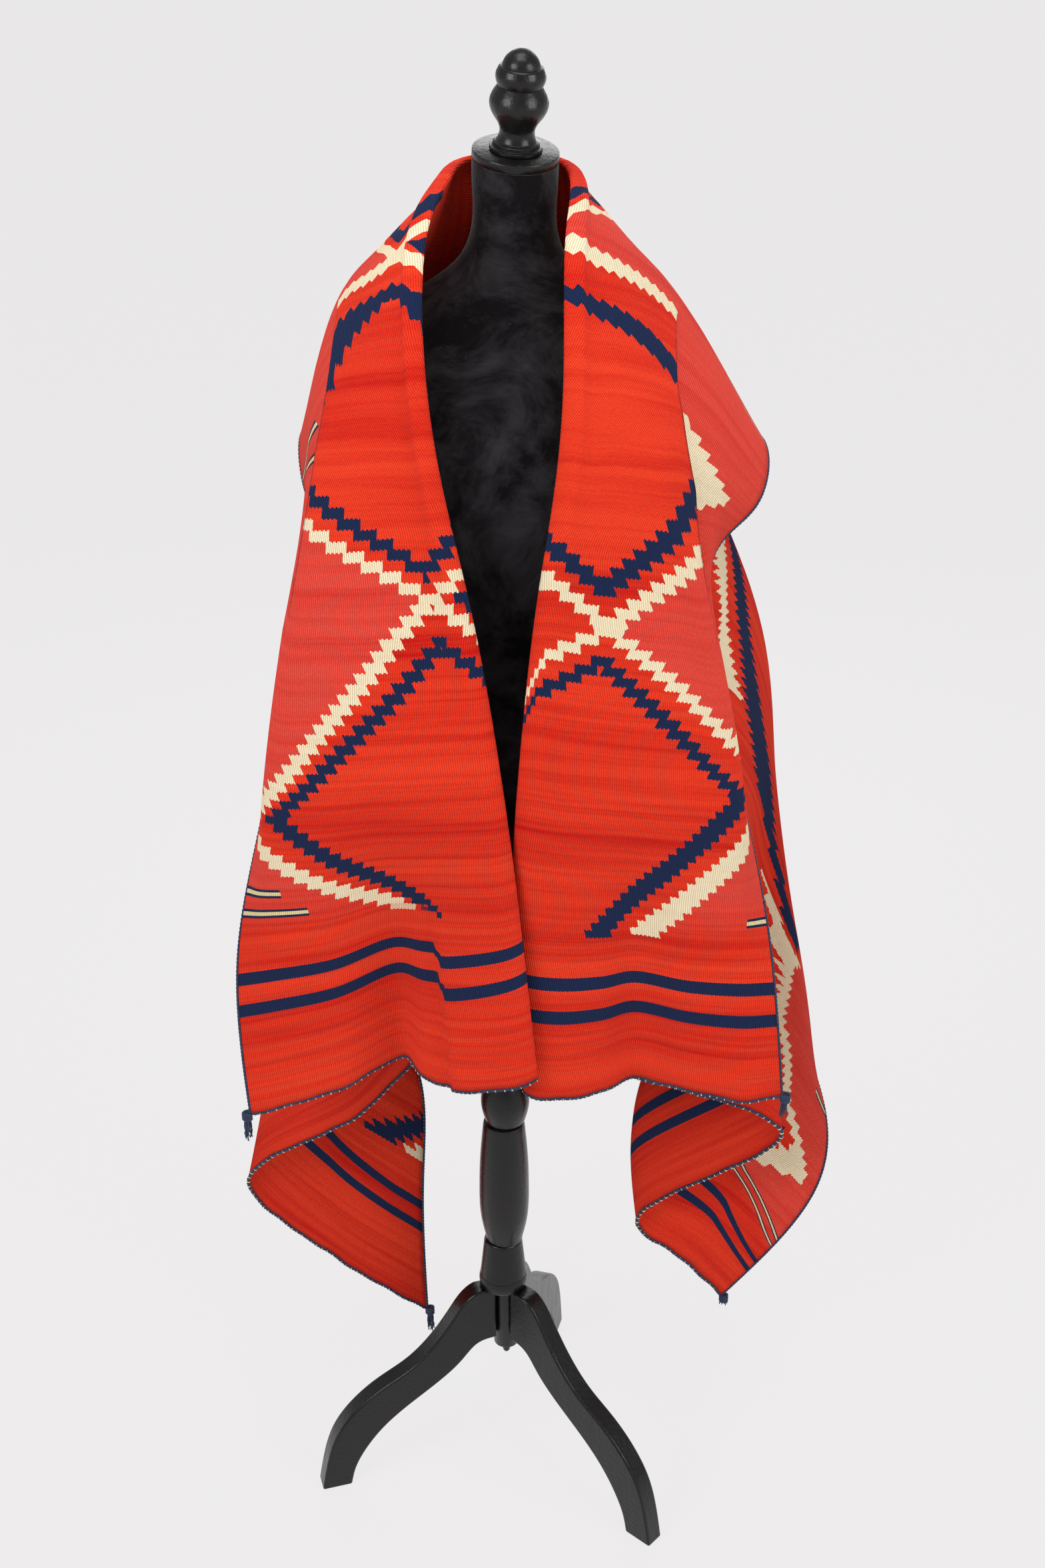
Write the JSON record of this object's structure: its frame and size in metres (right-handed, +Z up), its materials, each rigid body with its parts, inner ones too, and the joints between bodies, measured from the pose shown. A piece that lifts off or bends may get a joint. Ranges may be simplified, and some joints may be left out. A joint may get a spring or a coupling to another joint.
{
  "type": "serape on dress form stand",
  "caption": "Handwoven wool serape with serrated lozenges, worn as a shawl with a turned collar on a limbless velvet dress form on a turned tripod stand.",
  "frame": {"origin": "on the floor, at the middle of the whole part's bounding box seen from above", "axes": "+Z up, -Y towards the serape's open front, +X to the viewer's right as the viewer faces the front"},
  "size_m": [0.7502, 0.4366, 1.8226],
  "materials": {
    "handwoven_wool": "matte ribbed tapestry weave",
    "indigo_cord": "matte twisted yarn",
    "black_velvet": "soft pile",
    "black_lacquered_wood": "satin lacquer"
  },
  "bodies": {
    "root": {"end_cord_left": "indigo_cord", "end_cord_right": "indigo_cord", "finial": "black_lacquered_wood", "leg_1": "black_lacquered_wood", "leg_2": "black_lacquered_wood", "leg_3": "black_lacquered_wood", "leg_hub": "black_lacquered_wood", "neck_cap": "black_lacquered_wood", "post_ball": "black_lacquered_wood", "post_collar": "black_lacquered_wood", "post_rod": "black_lacquered_wood", "post_vase": "black_lacquered_wood", "selvage_cord_body": "indigo_cord", "selvage_cord_collar": "indigo_cord", "serape_back_body": "handwoven_wool", "serape_back_collar": "handwoven_wool", "serape_left_body": "handwoven_wool", "serape_left_collar": "handwoven_wool", "serape_right_body": "handwoven_wool", "serape_right_collar": "handwoven_wool", "tassel_left_body": "indigo_cord", "tassel_left_collar": "indigo_cord", "tassel_right_body": "indigo_cord", "tassel_right_collar": "indigo_cord", "torso": "black_velvet"}
  },
  "joints": []
}
